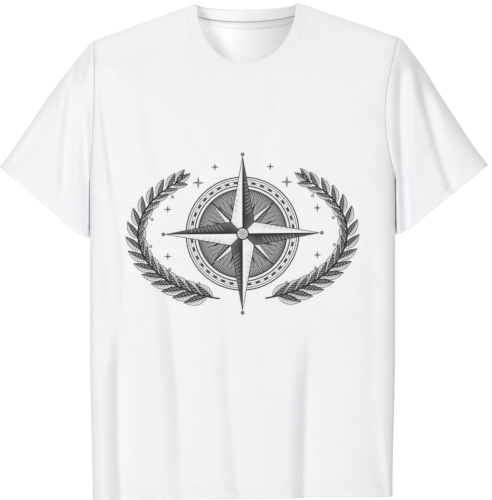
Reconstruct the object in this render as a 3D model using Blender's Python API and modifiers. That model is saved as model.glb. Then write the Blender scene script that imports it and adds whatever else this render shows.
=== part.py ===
"""A short-sleeved crew-neck T-shirt in the shape it has on an unseen wearer.

Metres, +Z up. The front faces -Y and the wearer's left is +X. The origin lies between the
wearer's shoulders, at the height of the shoulder tips and over the side seams.

Every piece of cloth is a flat grid that is laid on one of a few surfaces: the front, the back,
a sleeve or the neck band. A surface takes u across (or around) and v up (or along).
"""
import math

import bmesh
import bpy
from mathutils import Vector

OBJECT_NAME = "T_shirt"

# Cloth
JERSEY = 0.0010          # thickness of the body's and sleeves' knit
RIB = 0.0022             # thickness of the folded rib of the neck band
TAPE = 0.0008            # thickness of the neck tape
OVERLOCK = 0.0012        # thickness of an overlocked seam
SEAM_GAP = 0.0003        # what is left open between two neighbouring pieces
SHOULDER_GAP = 0.0009    # the same at the shoulder seams, where the cloth bends most
SLEEVE_CLEARANCE = 0.0009   # the same along the sleeves, which leave the armholes aslant

# Body
HEM_Z = -0.664           # the bottom edge, below the shoulder tips
CHEST_HALF_WIDTH = 0.2218
HEM_HALF_WIDTH = 0.2180
TAPER_START_Z = -0.45    # from here down the sides run in to the hem
SECTION_POWER = 9.0      # 2 is an ellipse, more is squarer
FRONT_DEPTH = 0.084
FRONT_HEM_DEPTH = 0.076
BACK_DEPTH = 0.082
BACK_WAIST_DEPTH = 0.070
BACK_HEM_DEPTH = 0.074
TILT = 0.0100            # the wearer's left side hangs this much higher, per metre of width
NECK_SWAY = 0.0028       # how far the neck stands to the left of the origin
BODY_SWAY = -0.0030      # the same for the body, below the chest
CHEST_Z = -0.15
WAIST_Z = -0.40

# Shoulders and armholes
SHOULDER_TIP_Z = 0.0047
NECK_POINT_Z = 0.0525
NECK_HALF_WIDTH = 0.0876
NECK_RISE = 0.20         # slope of the shoulder line's run on, inside the neck
UNDERARM_Z = -0.205
ARMHOLE_INSET = {1: 0.0165, -1: 0.0050}     # how far the left and right armholes cut in
FRONT_ROUNDING = (0.22, 0.05)   # height over which the front turns down, centre and tip
BACK_ROUNDING = (0.11, 0.11)
NECK_RIDGE, TIP_RIDGE = 0.55, 0.40      # 0.5 rounds the shoulder line evenly, less is squarer

# Neck
NECK_FRONT_Z = -0.051
NECK_BACK_Z = 0.033
BAND_HALF_WIDTH = 0.0723
BAND_FRONT_Z = -0.033
BAND_BACK_Z = 0.050
BAND_SIDE_Z = 0.0570
BAND_LEAN = 0.007        # how far the band's upper edge leans in over the neck

# Sleeves, given for the wearer's left one: x, z of the cuff's outer and inner corners
CUFF_OUTER = {1: (0.3570, -0.1840), -1: (0.3530, -0.1800)}    # corners of the left and right cuffs
CUFF_INNER = (0.235, -0.2815)
CUFF_HALF_DEPTH = 0.060
CUFF_POWER = 6.0         # again 2 is an ellipse
SLEEVE_LENGTH = 0.228
SLEEVE_SLOPE = math.radians(35)     # the arm's angle from the vertical
SHOULDER_FLARE, UNDERARM_FLARE = 0.25, 0.9      # how far a sleeve runs on as it leaves the armhole
SIDE_LEAVE = 0.4         # how much the sleeve's front and back leave along the shoulder's fall

# Hems and seams
BODY_HEM = 0.021
CUFF_HEM = 0.017
OVERLOCK_WIDTH = 0.006
INSIDE = JERSEY + SEAM_GAP      # how deep a turned-up hem lies under the outer face
UNDER_SEAM = INSIDE + 0.0010    # how deep a seam lies, which is flat where the cloth is round

# Grids
BODY_COLUMNS = 40
HEM_ROWS, SIDE_ROWS, ARMHOLE_ROWS = 1, 9, 14
BODY_ROWS = HEM_ROWS + SIDE_ROWS + ARMHOLE_ROWS
HEM_SHARE = HEM_ROWS / BODY_ROWS
SIDE_SHARE = (HEM_ROWS + SIDE_ROWS) / BODY_ROWS
NECK_SHARE = 0.40        # share of a panel's columns that end at the neck, from the centre
SLEEVE_COLUMNS = 2 * ARMHOLE_ROWS
SLEEVE_ROWS = 9
CUFF_SHARE = (SLEEVE_ROWS - 1) / SLEEVE_ROWS    # the last row is as wide as the cuff's hem
SHOULDER_COLUMNS = 12
TAPE_ROWS = 2
TAPE_DROP = 0.004        # what the tape and the shoulder seams stay below a panel's edge, in v
SEAM_SHARE = 0.012       # what a seam stays clear of its neighbours, in u or v
SHOULDER_SEAM_V = 0.984
BAND_COLUMNS = 2 * round(BODY_COLUMNS * NECK_SHARE)     # in step with the panels' columns

FRONT, BACK = -1, 1

# The folds of the front and the back: x and z of the upper end, x and z of the lower end,
# half width, depth, and how much steeper the side towards +X is than the other
FOLDS = {
    FRONT: (
        # x_top, z_top, x_low, z_low, half_width, depth, skew
        (-0.188, -0.340, -0.184, -0.700, 0.019, 0.016, 1.8),
        (0.098, -0.390, 0.074, -0.700, 0.019, 0.015, 1.8),
        (-0.118, -0.300, -0.088, -0.640, 0.019, 0.009, 1.4),
        (0.176, -0.420, 0.184, -0.700, 0.018, 0.004, 1.3),
        (-0.202, -0.040, -0.150, -0.380, 0.015, 0.006, 1.2),
    ),
    BACK: (
        (-0.150, -0.300, -0.135, -0.700, 0.020, 0.013, 1.4),
        (-0.045, -0.330, -0.040, -0.700, 0.018, 0.009, 1.1),
        (0.060, -0.300, 0.075, -0.700, 0.019, 0.012, 1.4),
        (0.165, -0.340, 0.155, -0.700, 0.018, 0.009, 1.2),
        (0.000, -0.060, 0.000, -0.300, 0.030, 0.004, 1.0),
    ),
}
FOLD_FADE = 0.10         # length over which a fold starts and ends

COLOURS = {
    # red, green, blue, roughness
    "jersey": (0.86, 0.86, 0.88, 0.90),
    "rib": (0.84, 0.84, 0.86, 0.92),
    "tape": (0.82, 0.82, 0.84, 0.92),
    "thread": (0.80, 0.80, 0.82, 0.85),
}


# Plain curves

def smooth(low, high, value):
    """0 below low, 1 above high, and an even S between them."""
    t = min(max((value - low) / (high - low), 0.0), 1.0)
    return t * t * (3 - 2 * t)


def mix(a, b, t):
    return a + (b - a) * t


def posed(point):
    """Where a point of the even, upright shirt lies on a wearer who leans a little."""
    sway = mix(BODY_SWAY, NECK_SWAY, smooth(CHEST_Z, NECK_BACK_Z, point.z))
    return Vector((point.x + sway, point.y, point.z + TILT * point.x))


def half_width(z):
    """Half of the body's width, at the side seams."""
    return mix(CHEST_HALF_WIDTH, HEM_HALF_WIDTH, smooth(TAPER_START_Z, HEM_Z, z))


def edge_x(z, hand):
    """Half of a panel's width: the side seam, and above the underarm the armhole.

    hand is 1 on the wearer's left and -1 on the right.
    """
    span = SHOULDER_TIP_Z - UNDERARM_Z
    up = min(max((z - UNDERARM_Z) / span, 0.0), 1.0)
    return half_width(z) - ARMHOLE_INSET[hand] * math.sin(math.pi * up)


def depth(side, z):
    """How far the front or the back stands off the side seams, at the middle."""
    if side == FRONT:
        return mix(FRONT_DEPTH, FRONT_HEM_DEPTH, smooth(CHEST_Z, HEM_Z, z))
    waist = mix(BACK_DEPTH, BACK_WAIST_DEPTH, smooth(CHEST_Z, WAIST_Z, z))
    return mix(waist, BACK_HEM_DEPTH, smooth(WAIST_Z, HEM_Z, z))


def shoulder_z(x):
    """Height of the shoulder line, run on up inside the neck."""
    across = abs(x)
    if across < NECK_HALF_WIDTH:
        return NECK_POINT_Z + NECK_RISE * (NECK_HALF_WIDTH ** 2 - x * x) / (2 * NECK_HALF_WIDTH)
    out = (across - NECK_HALF_WIDTH) / (CHEST_HALF_WIDTH - NECK_HALF_WIDTH)
    return mix(NECK_POINT_Z, SHOULDER_TIP_Z, out)


def fold_depth(side, x, z):
    """How far the folds push the cloth in at this place."""
    total = 0.0
    for x_top, z_top, x_low, z_low, width, deep, skew in FOLDS[side]:
        along = (z_top - z) / (z_top - z_low)
        fade = smooth(0.0, FOLD_FADE / (z_top - z_low), along)
        end = smooth(1.0 + FOLD_FADE, 1.0, along)
        off = (x - mix(x_top, x_low, along)) / width
        off *= skew if off > 0 else 1.0
        total += deep * fade * end * math.exp(-off * off)
    return total


def body_y(side, x, z):
    """The y of the front's or back's outer face."""
    across = min(abs(x) / half_width(z), 1.0)
    section = (1 - across ** SECTION_POWER) ** (1 / SECTION_POWER)
    centre, tip = FRONT_ROUNDING if side == FRONT else BACK_ROUNDING
    height = mix(centre, tip, (x / CHEST_HALF_WIDTH) ** 2)
    down = min(max((shoulder_z(x) - z) / height, 0.0), 1.0)
    ridge = mix(NECK_RIDGE, TIP_RIDGE, smooth(NECK_HALF_WIDTH, CHEST_HALF_WIDTH, abs(x)))
    rounding = (1 - (1 - down) ** 2) ** ridge
    full = depth(side, z) * section * rounding
    return side * (full - fold_depth(side, x, z) * min(section * 1.5, 1.0) * rounding)


def neck_seam(angle):
    """The seam of the neck band. The angle is 0 at the front and a half turn at the back."""
    x = NECK_HALF_WIDTH * math.sin(angle)
    side = FRONT if math.cos(angle) >= 0 else BACK
    low = NECK_FRONT_Z if side == FRONT else NECK_BACK_Z
    z = mix(NECK_POINT_Z, low, abs(math.cos(angle)))
    return Vector((x, body_y(side, x, z), z))


def top_edge(side, u):
    """A panel's upper edge: the shoulder line, and the neck seam between the neck points."""
    across = abs(u)
    if across >= NECK_SHARE:
        out = (across - NECK_SHARE) / (1 - NECK_SHARE)
        x = mix(NECK_HALF_WIDTH, CHEST_HALF_WIDTH, out)
        return math.copysign(x, u), shoulder_z(x)
    angle = u / NECK_SHARE * math.pi / 2
    if side == BACK:
        angle = math.pi - angle
    seam = neck_seam(angle)
    return seam.x, seam.z


# Surfaces: each takes u and v and gives a point of the outer face

def panel_z(v, z_top):
    """Height on a column that ends at z_top: the hem, the side and the stretch over the underarm."""
    hem_top = HEM_Z + BODY_HEM
    if v <= HEM_SHARE:
        return mix(HEM_Z, hem_top, v / HEM_SHARE)
    if v <= SIDE_SHARE:
        return mix(hem_top, UNDERARM_Z, (v - HEM_SHARE) / (SIDE_SHARE - HEM_SHARE))
    above = (v - SIDE_SHARE) / (1 - SIDE_SHARE)
    return mix(UNDERARM_Z, z_top, (1 - math.cos(above * math.pi)) / 2)


def panel(side):
    """The front or the back. u is -1 and 1 at its sides, v is 0 at the hem and 1 at the top."""
    def at(u, v):
        x_top, z_top = top_edge(side, u)
        z = panel_z(v, z_top)
        up = smooth(UNDERARM_Z, z_top, z)
        hand = 1 if u > 0 else -1
        x = edge_x(z, hand) * mix(math.sin(u * math.pi / 2), x_top / edge_x(z_top, hand), up)
        gap = mix(SEAM_GAP, SHOULDER_GAP, up)
        return Vector((x, body_y(side, x, z) + side * gap / 2, z))
    return at


def armhole(angle, hand):
    """An armhole's seam, mirrored to the left: 0 at the shoulder, a quarter turn in front."""
    middle = (SHOULDER_TIP_Z + UNDERARM_Z) / 2
    z = middle + (SHOULDER_TIP_Z - middle) * math.cos(angle)
    side = FRONT if math.sin(angle) >= 0 else BACK
    x = edge_x(z, hand)
    return Vector((x, body_y(side, x * hand, z), z))


def cuff(angle, hand):
    """A sleeve's edge, mirrored to the left: a squarish oval between the cuff's two corners."""
    outer = Vector((CUFF_OUTER[hand][0], 0, CUFF_OUTER[hand][1]))
    inner = Vector((CUFF_INNER[0], 0, CUFF_INNER[1]))
    along = (outer - inner) / 2 * math.cos(angle)
    sideways = Vector((0, -CUFF_HALF_DEPTH * math.sin(angle), 0))
    square = abs(math.cos(angle)) ** CUFF_POWER + abs(math.sin(angle)) ** CUFF_POWER
    return (outer + inner) / 2 + (along + sideways) * square ** (-1 / CUFF_POWER)


def sleeve(hand):
    """A sleeve: hand is 1 for the wearer's left and -1 for the right.

    u goes once around from the underarm, v is 0 at the armhole, CUFF_SHARE at the top of the
    turned-up hem and 1 at the edge.
    """
    hem_start = 1 - CUFF_HEM / SLEEVE_LENGTH
    run = Vector((math.sin(SLEEVE_SLOPE), 0, -math.cos(SLEEVE_SLOPE)))
    fall = Vector((CHEST_HALF_WIDTH - NECK_HALF_WIDTH, 0, SHOULDER_TIP_Z - NECK_POINT_Z)).normalized()

    def at(u, v):
        angle = math.pi * (1 - 2 * u)
        start, end = armhole(angle, hand), cuff(angle, hand)
        top = max(math.cos(angle), 0.0)
        leave = run.lerp(fall, mix(SIDE_LEAVE, 1.0, abs(math.cos(angle)))).normalized()
        start = start + leave * SLEEVE_CLEARANCE
        far = (end - start).length
        a, b = leave * far * mix(UNDERARM_FLARE, SHOULDER_FLARE, top), run * far
        t = v / CUFF_SHARE * hem_start
        if v > CUFF_SHARE:
            t = mix(hem_start, 1.0, (v - CUFF_SHARE) / (1 - CUFF_SHARE))
        t2, t3 = t * t, t * t * t
        point = start * (2 * t3 - 3 * t2 + 1) + a * (t3 - 2 * t2 + t)
        point = point + end * (3 * t2 - 2 * t3) + b * (t3 - t2)
        return Vector((point.x * hand, point.y, point.z))
    return at


def strip_along(surface, edge_u):
    """A strip that runs back from one line of a surface: u is 0 to 1 over the seam's width."""
    def at(u, v):
        return surface(edge_u, v) + Vector((0, u * OVERLOCK_WIDTH, 0))
    return at


def neck_band(u, v):
    """The band: u goes once around from the back, v is 0 at the seam and 1 at the edge."""
    angle = math.pi * (2 * u - 1)
    seam = neck_seam(angle)
    forward = math.cos(angle)
    low = BAND_FRONT_Z if forward >= 0 else BAND_BACK_Z
    edge_z = mix(BAND_SIDE_Z, low, abs(forward))
    edge = Vector((BAND_HALF_WIDTH * math.sin(angle), seam.y + BAND_LEAN * forward, edge_z))
    width = (edge - seam).length
    clear = (SEAM_GAP + JERSEY * 0.5) / width
    return seam.lerp(edge, mix(clear, 1.0, v))


# Building

def material(name):
    """A Principled material in one of the shirt's colours."""
    found = bpy.data.materials.get(name)
    if found:
        return found
    made = bpy.data.materials.new(name)
    made.use_nodes = True
    shader = made.node_tree.nodes["Principled BSDF"]
    red, green, blue, roughness = COLOURS[name]
    shader.inputs["Base Color"].default_value = (red, green, blue, 1.0)
    shader.inputs["Roughness"].default_value = roughness
    shader.inputs["Metallic"].default_value = 0.0
    return made


def cloth(name, colour, surface, span, cells, thick, turn=1, inset=0.0, closed=False):
    """Lays a grid on a surface and gives it a thickness towards the inside.

    span is (u0, u1, v0, v1), cells is (columns, rows), inset moves the outer face inwards.
    """
    u0, u1, v0, v1 = span
    grid = bmesh.new()
    bmesh.ops.create_grid(grid, x_segments=cells[0], y_segments=cells[1], size=1.0)
    for vertex in grid.verts:
        u = mix(u0, u1, (vertex.co.x + 1) / 2)
        v = mix(v0, v1, (vertex.co.y + 1) / 2)
        vertex.co = posed(surface(u, v))
    if closed:
        bmesh.ops.remove_doubles(grid, verts=grid.verts, dist=1e-6)
    if turn < 0:
        bmesh.ops.reverse_faces(grid, faces=grid.faces)
    grid.normal_update()
    for vertex in grid.verts:
        vertex.co -= vertex.normal * inset
    mesh = bpy.data.meshes.new(name)
    grid.to_mesh(mesh)
    grid.free()
    mesh.materials.append(material(colour))
    mesh.shade_smooth()
    made = bpy.data.objects.new(name, mesh)
    shirt.objects.link(made)
    solid = made.modifiers.new("Thickness", "SOLIDIFY")
    solid.thickness = thick
    solid.offset = -1.0
    return made


def clear_scene():
    for old in list(bpy.data.objects):
        bpy.data.objects.remove(old, do_unlink=True)


def build_body():
    """Front and back panels with their turned-up hems."""
    for name, side in (("front", FRONT), ("back", BACK)):
        surface = panel(side)
        cells = (BODY_COLUMNS, BODY_ROWS)
        cloth(name + "_panel", "jersey", surface, (-1, 1, 0, 1), cells, JERSEY, -side)
        cells = (BODY_COLUMNS, HEM_ROWS)
        cloth(name + "_hem", "jersey", surface, (-1, 1, 0, HEM_SHARE), cells, JERSEY, -side, INSIDE)


def build_body_seams():
    """The overlocked side and shoulder seams, which lie against the back, and the neck tape."""
    surface = panel(BACK)
    side_span = (SEAM_SHARE, 1, HEM_SHARE + SEAM_SHARE, SIDE_SHARE - SEAM_SHARE)
    inner, outer = NECK_SHARE + SEAM_SHARE, 1 - 2 * SEAM_SHARE
    for name, hand in (("left", 1), ("right", -1)):
        cloth("side_seam_" + name, "thread", strip_along(surface, hand), side_span,
              (1, SIDE_ROWS), OVERLOCK, hand, INSIDE + SEAM_GAP)
        low, high = sorted((inner * hand, outer * hand))
        span = (low, high, SHOULDER_SEAM_V, 1 - TAPE_DROP)
        cloth("shoulder_seam_" + name, "thread", surface, span,
              (SHOULDER_COLUMNS, 1), OVERLOCK, -1, UNDER_SEAM)
    neck = NECK_SHARE - SEAM_SHARE
    span = (-neck, neck, 1 - TAPE_ROWS / BODY_ROWS, 1 - TAPE_DROP)
    cells = (round(BODY_COLUMNS * NECK_SHARE), TAPE_ROWS)
    cloth("neck_tape", "tape", surface, span, cells, TAPE, -1, UNDER_SEAM)


def build_sleeves():
    """Both sleeves with their turned-up cuffs, armhole seams and underarm seams."""
    ring = OVERLOCK_WIDTH / SLEEVE_LENGTH
    for name, hand in (("left", 1), ("right", -1)):
        surface = sleeve(hand)
        for kind, colour, v0, v1, rows, thick, inset in (
            ("sleeve_", "jersey", 0, 1, SLEEVE_ROWS, JERSEY, 0.0),
            ("cuff_", "jersey", CUFF_SHARE, 1, 1, JERSEY, INSIDE),
            ("armhole_seam_", "thread", 0, ring, 1, OVERLOCK, UNDER_SEAM),
        ):
            cells = (SLEEVE_COLUMNS, rows)
            cloth(kind + name, colour, surface, (0, 1, v0, v1), cells, thick, -hand, inset, closed=True)
        span = (SEAM_SHARE, 1, 2 * ring, CUFF_SHARE - ring)
        cloth("underarm_seam_" + name, "thread", strip_along(surface, 0), span,
              (1, SLEEVE_ROWS), OVERLOCK, hand, UNDER_SEAM)


def build_neck():
    """The ribbed neck band."""
    cloth("neck_band", "rib", neck_band, (0, 1, 0, 1), (BAND_COLUMNS, 2), RIB, 1, closed=True)


clear_scene()
shirt = bpy.data.collections.new(OBJECT_NAME)
bpy.context.scene.collection.children.link(shirt)
build_body()
build_body_seams()
build_sleeves()
build_neck()
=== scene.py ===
"""The looks of a white crew-neck T-shirt with a printed chest, in the shape of an unseen wearer.

Metres, +Z up, the front towards -Y, the wearer's left towards +X, as in the frame. The cloth is
laid on the same surfaces as the solids, with finer folds, turned edges, hems, seams and stitches.
Shapes are worked out for a shirt that hangs even and upright; posed() then leans every point.
"""
import math

import bpy
import numpy as np
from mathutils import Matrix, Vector


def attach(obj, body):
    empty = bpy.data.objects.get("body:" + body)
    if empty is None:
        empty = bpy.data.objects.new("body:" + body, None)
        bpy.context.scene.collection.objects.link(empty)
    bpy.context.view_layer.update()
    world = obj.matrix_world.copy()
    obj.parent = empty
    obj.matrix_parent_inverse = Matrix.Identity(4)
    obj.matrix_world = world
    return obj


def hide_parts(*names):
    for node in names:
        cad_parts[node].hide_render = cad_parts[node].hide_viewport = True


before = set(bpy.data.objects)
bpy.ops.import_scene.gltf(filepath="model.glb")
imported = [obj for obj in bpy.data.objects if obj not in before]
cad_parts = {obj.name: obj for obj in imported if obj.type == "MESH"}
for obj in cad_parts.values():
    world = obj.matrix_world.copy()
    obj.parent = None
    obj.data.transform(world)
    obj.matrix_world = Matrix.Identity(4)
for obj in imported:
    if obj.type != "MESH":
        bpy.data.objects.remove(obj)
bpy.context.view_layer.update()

FRONT, BACK = -1, 1
LEFT, RIGHT = 1, -1      # the wearer's own: left is towards +X
SIDES = {"front": FRONT, "back": BACK}
HANDS = {"left": LEFT, "right": RIGHT}

# The shirt's sizes, as in the frame
HEM_Z = -0.664
CHEST_HALF_WIDTH = 0.2218
HEM_HALF_WIDTH = 0.2180
TAPER_START_Z = -0.45
SECTION_POWER = 9.0
FRONT_DEPTH, FRONT_HEM_DEPTH = 0.084, 0.076
BACK_DEPTH, BACK_WAIST_DEPTH, BACK_HEM_DEPTH = 0.082, 0.070, 0.074
CHEST_Z, WAIST_Z = -0.15, -0.40
TILT = 0.0100
NECK_SWAY, BODY_SWAY = 0.0028, -0.0030
SHOULDER_TIP_Z = 0.0047
NECK_POINT_Z = 0.0525
NECK_HALF_WIDTH = 0.0876
NECK_RISE = 0.20
UNDERARM_Z = -0.205
ARMHOLE_INSET = {LEFT: 0.0165, RIGHT: 0.0050}
FRONT_ROUNDING = (0.22, 0.05)
BACK_ROUNDING = (0.11, 0.11)
NECK_RIDGE, TIP_RIDGE = 0.55, 0.40
NECK_FRONT_Z, NECK_BACK_Z = -0.051, 0.033
NECK_SHARE = 0.40        # share of a panel's width that ends at the neck
BAND_HALF_WIDTH = 0.0723
BAND_FRONT_Z, BAND_BACK_Z, BAND_SIDE_Z = -0.033, 0.050, 0.0570
BAND_LEAN = 0.007
CUFF_OUTER = {LEFT: (0.3570, -0.1840), RIGHT: (0.3530, -0.1800)}
CUFF_INNER = (0.235, -0.2815)
CUFF_HALF_DEPTH = 0.060
CUFF_POWER = 6.0
SLEEVE_LENGTH = 0.228
SLEEVE_SLOPE = math.radians(35)
SHOULDER_FLARE, UNDERARM_FLARE, SIDE_LEAVE = 0.25, 0.9, 0.4
BODY_HEM = 0.021
CUFF_HEM = 0.017

# The sleeves' undersides, which lie against the body
UNDER_CLEAR = 0.0004     # what they leave open to it
CORNER_DROP, UNDER_RISE = 0.009, 0.008      # a cuff's lowest place, and its rise to the body

# Cloth
JERSEY = 0.0008          # thickness of one layer
HEM_LAYERS = 0.0018      # thickness where the hem is turned up
RIB = 0.0024             # thickness of the folded neck band
RIB_HEIGHT = 0.00017
BAND_WIDTH = 0.0180
TAPE = 0.0007
TAPE_ROLL = 0.0003       # radius of the tape's edges
TAPE_DEPTH = 0.0006      # how much deeper than UNDER_CLOTH the tape lies
TAPE_MEET = 0.12         # how far under the neck seam lines down the tape would meet
SEAM_ROLL = 0.0005       # radius of the cloth's turn into a seam
SEAM_SLACK = 0.0002      # what is left open between a sleeve and its armhole
UNDER_CLOTH = 0.0003     # what a seam, tape or turning stays clear of the cloth over it
OVERLOCK = 0.0009        # thickness of an overlocked seam, without its loops
OVERLOCK_PITCH = 0.0022  # from one loop of thread to the next
LOOP_HEIGHT, LOOP_SLANT = 0.00022, 0.35     # half of what a loop stands out, and its slant
SEAM_DEPTH = {"side": 0.0, "armhole": 0.0003, "underarm": 0.0004, "shoulder": 0.0006}   # as TAPE_DEPTH
TAPE_WIDTH = 0.0105
PUCKER = 0.00022         # height of the small waves that the stitching pulls into a hem
PUCKER_PITCH, PUCKER_SLANT = 0.0085, 0.7
SLOW_PUCKER, SLOW_RATE = 0.5, 410.0         # share and rate of a second, slower wave
GROOVE, GROOVE_WIDTH = 0.00055, 0.0011      # how far a row of stitches pulls the cloth in

# Stitches
HEM_STITCHES = (0.0140, 0.0192)     # height of the twin rows over the body's edge
CUFF_STITCHES = (0.0105, 0.0152)
TAPE_STITCHES = (0.0026, 0.0086)    # below the neck seam
STITCH_PITCH, STITCH_GAP = 0.0031, 0.0006
STITCH_RADIUS = 0.00023
STITCH_LIFT, TAPE_STITCH_LIFT = STITCH_RADIUS * 0.4, STITCH_RADIUS * 0.3

# Grids
COLUMNS = 196
SIDE_ROWS = 108
ARMHOLE_ROWS = 84
SLEEVE_COLUMNS = 168
SLEEVE_ROWS = 74
RIBS = 300

# Folds of the front and back. A fold runs down from z_top to z_low through x_top, x_mid and
# x_low. Along that line it is `deep`. The cloth falls steeply into it over `before`, on the
# wearer's right, and rises gently out of it over `after`, on the left.
FOLD = "x_top x_mid x_low z_top z_low before after deep fade_top fade_low".split()
FOLDS = {
    FRONT: (
        # from the waist to the hem
        (-0.176, -0.180, -0.174, -0.36, -0.70, 0.026, 0.064, 0.021, 0.14, 0.02),
        (-0.120, -0.094, -0.090, -0.30, -0.74, 0.030, 0.056, 0.013, 0.14, 0.20),
        (-0.026, -0.018, 0.000, -0.36, -0.70, 0.022, 0.044, 0.007, 0.12, 0.02),
        (0.100, 0.092, 0.090, -0.40, -0.70, 0.025, 0.060, 0.020, 0.14, 0.02),
        # down the sides
        (0.188, 0.186, 0.184, -0.22, -0.58, 0.026, 0.022, 0.002, 0.12, 0.08),
        (0.186, 0.196, 0.210, -0.52, -0.70, 0.036, 0.012, 0.004, 0.08, 0.02),
        (-0.185, -0.172, -0.176, -0.23, -0.41, 0.016, 0.024, 0.005, 0.04, 0.05),
        (-0.209, -0.207, -0.206, -0.28, -0.50, 0.012, 0.014, 0.003, 0.05, 0.04),
        # from the armholes, shoulders and neck into the chest
        (-0.215, -0.197, -0.183, -0.03, -0.25, 0.010, 0.050, 0.008, 0.03, 0.05),
        (-0.150, -0.132, -0.116, -0.07, -0.22, 0.024, 0.030, 0.004, 0.04, 0.05),
        (0.062, 0.032, 0.014, -0.04, -0.25, 0.034, 0.050, 0.003, 0.04, 0.08),
        (0.103, 0.107, 0.110, -0.04, -0.16, 0.020, 0.020, 0.001, 0.04, 0.04),
    ),
    BACK: (
        (-0.150, -0.142, -0.135, -0.30, -0.70, 0.032, 0.025, 0.013, 0.16, 0.02),
        (-0.045, -0.042, -0.040, -0.33, -0.70, 0.030, 0.026, 0.009, 0.16, 0.02),
        (0.060, 0.066, 0.075, -0.30, -0.70, 0.030, 0.025, 0.012, 0.16, 0.02),
        (0.165, 0.160, 0.155, -0.34, -0.70, 0.030, 0.025, 0.009, 0.16, 0.02),
        (0.000, 0.000, 0.000, -0.06, -0.30, 0.050, 0.055, 0.004, 0.10, 0.12),
        (-0.190, -0.165, -0.125, -0.11, -0.34, 0.022, 0.020, 0.005, 0.08, 0.12),
        (0.190, 0.165, 0.125, -0.10, -0.33, 0.020, 0.025, 0.005, 0.08, 0.12),
    ),
}

# Folds of the sleeves, front and back, in the same terms
SLEEVE_FOLDS = {
    (LEFT, FRONT): (
        (0.225, 0.231, 0.240, -0.02, -0.32, 0.015, 0.018, 0.010, 0.05, 0.03),
        (0.244, 0.273, 0.307, -0.02, -0.23, 0.012, 0.018, 0.008, 0.03, 0.02),
        (0.237, 0.239, 0.241, -0.18, -0.32, 0.014, 0.014, 0.006, 0.04, 0.02),
    ),
    (LEFT, BACK): (
        (0.246, 0.255, 0.260, -0.04, -0.30, 0.022, 0.020, 0.007, 0.08, 0.02),
        (0.270, 0.295, 0.315, -0.06, -0.30, 0.020, 0.024, 0.005, 0.08, 0.02),
    ),
    (RIGHT, FRONT): (
        (-0.234, -0.228, -0.230, -0.06, -0.31, 0.024, 0.012, 0.009, 0.06, 0.06),
        (-0.245, -0.256, -0.262, -0.01, -0.24, 0.012, 0.022, 0.007, 0.03, 0.04),
        (-0.277, -0.299, -0.342, -0.07, -0.19, 0.016, 0.024, 0.004, 0.02, 0.02),
        (-0.229, -0.233, -0.237, 0.00, -0.06, 0.006, 0.006, 0.002, 0.01, 0.01),
    ),
    (RIGHT, BACK): (
        (-0.246, -0.255, -0.260, -0.04, -0.30, 0.020, 0.025, 0.007, 0.08, 0.02),
        (-0.270, -0.295, -0.315, -0.06, -0.30, 0.020, 0.023, 0.005, 0.08, 0.02),
    ),
}

CREASE = 0.0016          # how far a fold's bottom is rounded

# Slack that is too soft to be a fold: waves of the whole cloth, as height, rate in x, rate in z
SLACK = ((0.00045, 61.0, 23.0), (0.00035, -38.0, 74.0), (0.00022, 117.0, -52.0), (0.00016, 170.0, 131.0))

# The print: black and grey ink, a wind rose in a wreath of leaves
PRINT_CENTRE = (0.000, -0.2800)
PRINT_STEP = 0.0021
PRINT_LIFT, LAYER_LIFT = 0.00012, 0.000035
ROSE_REACH = 0.1115
RING = 0.0700
WREATH_HALF_WIDTH, WREATH_HALF_HEIGHT = 0.1510, 0.0960
BOLD, FINE, HAIR = 0.0016, 0.0009, 0.00050      # widths of the lines
INK = 0.01               # how much of the white cloth shows through a line
BLOCKS, TICKS, RAYS = 36, 144, 150          # how many the ring has
ROSE_POINTS = (          # each set of points: count, shift, reach, waist, spread and layer
    (8, 0.5, 0.0470, 0.0165, math.pi / 15, 2),
    (4, 0.5, 0.0640, 0.0195, math.pi / 7, 5),
    (4, 0.0, ROSE_REACH, 0.0240, math.pi / 4, 8),
)
STARS = ((0.0640, 0.0740, 0.0080), (0.0400, 0.0965, 0.0050),        # x, z and reach
         (0.1080, 0.0360, 0.0050), (0.1080, -0.0320, 0.0050))

# Knits, as the width and height of one stitch, the tape's weave and the white of the jersey
JERSEY_KNIT, RIB_KNIT = (0.00095, 0.00075), (0.00110, 0.00080)
TWILL_PITCH = 0.0012
WHITE = (0.865, 0.866, 0.880)

# The camera, a long lens level with the middle of the shirt, and the lamps
VIEW_CENTRE = (0.002, -0.3037)
VIEW_DISTANCE = 8.0
VIEW_HEIGHT = 0.730
SENSOR_HEIGHT, FAR_END = 36.0, 50.0
FLOOR_Z, FLOOR_REACH = -1.40, 4.0
AMBIENT, AMBIENT_COLOUR = 0.39, (0.975, 0.985, 1.0, 1.0)
SEEN, SEEN_COLOUR = 1.1, (1.0, 1.0, 1.0, 1.0)
LAMPS = {                # turn, rise and distance from the shirt's middle, size, power
    "key": (17, 18, 5.0, 0.8, 122.0),
    "fill": (-35, 4, 6.0, 2.0, 28.0),
    "rim_0": (-118, 0, 3.4, 1.6, 22.0),
    "rim_1": (122, 0, 3.4, 1.6, 17.0),
    "rim_2": (180, 72, 3.4, 1.6, 42.0),
}
NECK_LAMP = {"place": (-0.050, 0.000, -0.260), "target": (-0.045, 0.065, 0.050), "size": 0.08,
             "power": 0.068, "spread": 60}


# Plain curves

def smooth(low, high, value):
    """0 at low, 1 at high, and an even S between them."""
    t = np.clip((value - low) / (high - low), 0.0, 1.0)
    return t * t * (3 - 2 * t)


def mix(a, b, t):
    return a + (b - a) * t


def unit(v):
    return v / np.maximum(np.linalg.norm(v, axis=-1, keepdims=True), 1e-12)


def joined(*parts):
    """Points or faces from their parts, side by side on a new last axis."""
    return np.stack(np.broadcast_arrays(*parts), axis=-1)


def full_turn(count):
    """Angles of a whole turn, as one row."""
    return np.linspace(-math.pi, math.pi, count, endpoint=False)[None, :]


# The body's form

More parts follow.
